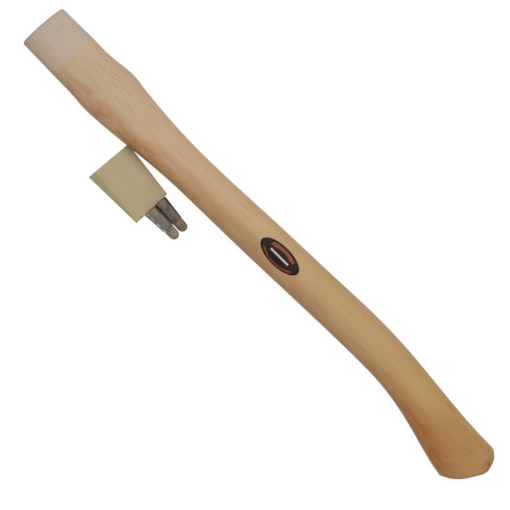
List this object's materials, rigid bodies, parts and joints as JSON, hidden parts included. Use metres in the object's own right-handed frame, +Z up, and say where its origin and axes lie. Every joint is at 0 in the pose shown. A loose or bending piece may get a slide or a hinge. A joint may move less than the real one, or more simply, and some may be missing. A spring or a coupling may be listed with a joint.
{
  "type": "replacement tool handle with wedges",
  "caption": "Curved wooden replacement handle for a striking tool, its eye end sawn for a wedge, lying flat beside a loose wooden wedge and loose stepped steel wedges.",
  "frame": {"origin": "middle of the whole kit's footprint, on the surface that it lies on", "axes": "+X along the handle from the eye end to the butt, +Y towards the handle's back edge, away from the loose wedges, +Z up, across the handle's cheeks"},
  "size_m": [0.4572, 0.0763, 0.0256],
  "materials": {
    "handle": "satin lacquered hickory, bare and paler at the eye end",
    "label": "gloss printed oval sticker, near black with orange and white",
    "wood_wedge": "bare sawn poplar, olive beige",
    "steel_wedge": "dull brown grey oxide skin, bare bright on worn edges"
  },
  "bodies": {
    "handle": {"handle": "handle", "label": "label"},
    "wood_wedge": {"wood_wedge": "wood_wedge"},
    "steel_wedge_1": {"steel_wedge_1": "steel_wedge"},
    "steel_wedge_2": {"steel_wedge_2": "steel_wedge"}
  },
  "joints": [
    {"name": "wood_wedge_lift", "type": "slide", "parent": "handle", "child": "wood_wedge", "axis": [0, -0.5, 0.866], "range_m": [0, 0.05]},
    {"name": "steel_wedge_1_lift", "type": "slide", "parent": "handle", "child": "steel_wedge_1", "axis": [0, 0, 1], "range_m": [0, 0.05]},
    {"name": "steel_wedge_2_lift", "type": "slide", "parent": "handle", "child": "steel_wedge_2", "axis": [0, 0, 1], "range_m": [0, 0.05]}
  ]
}
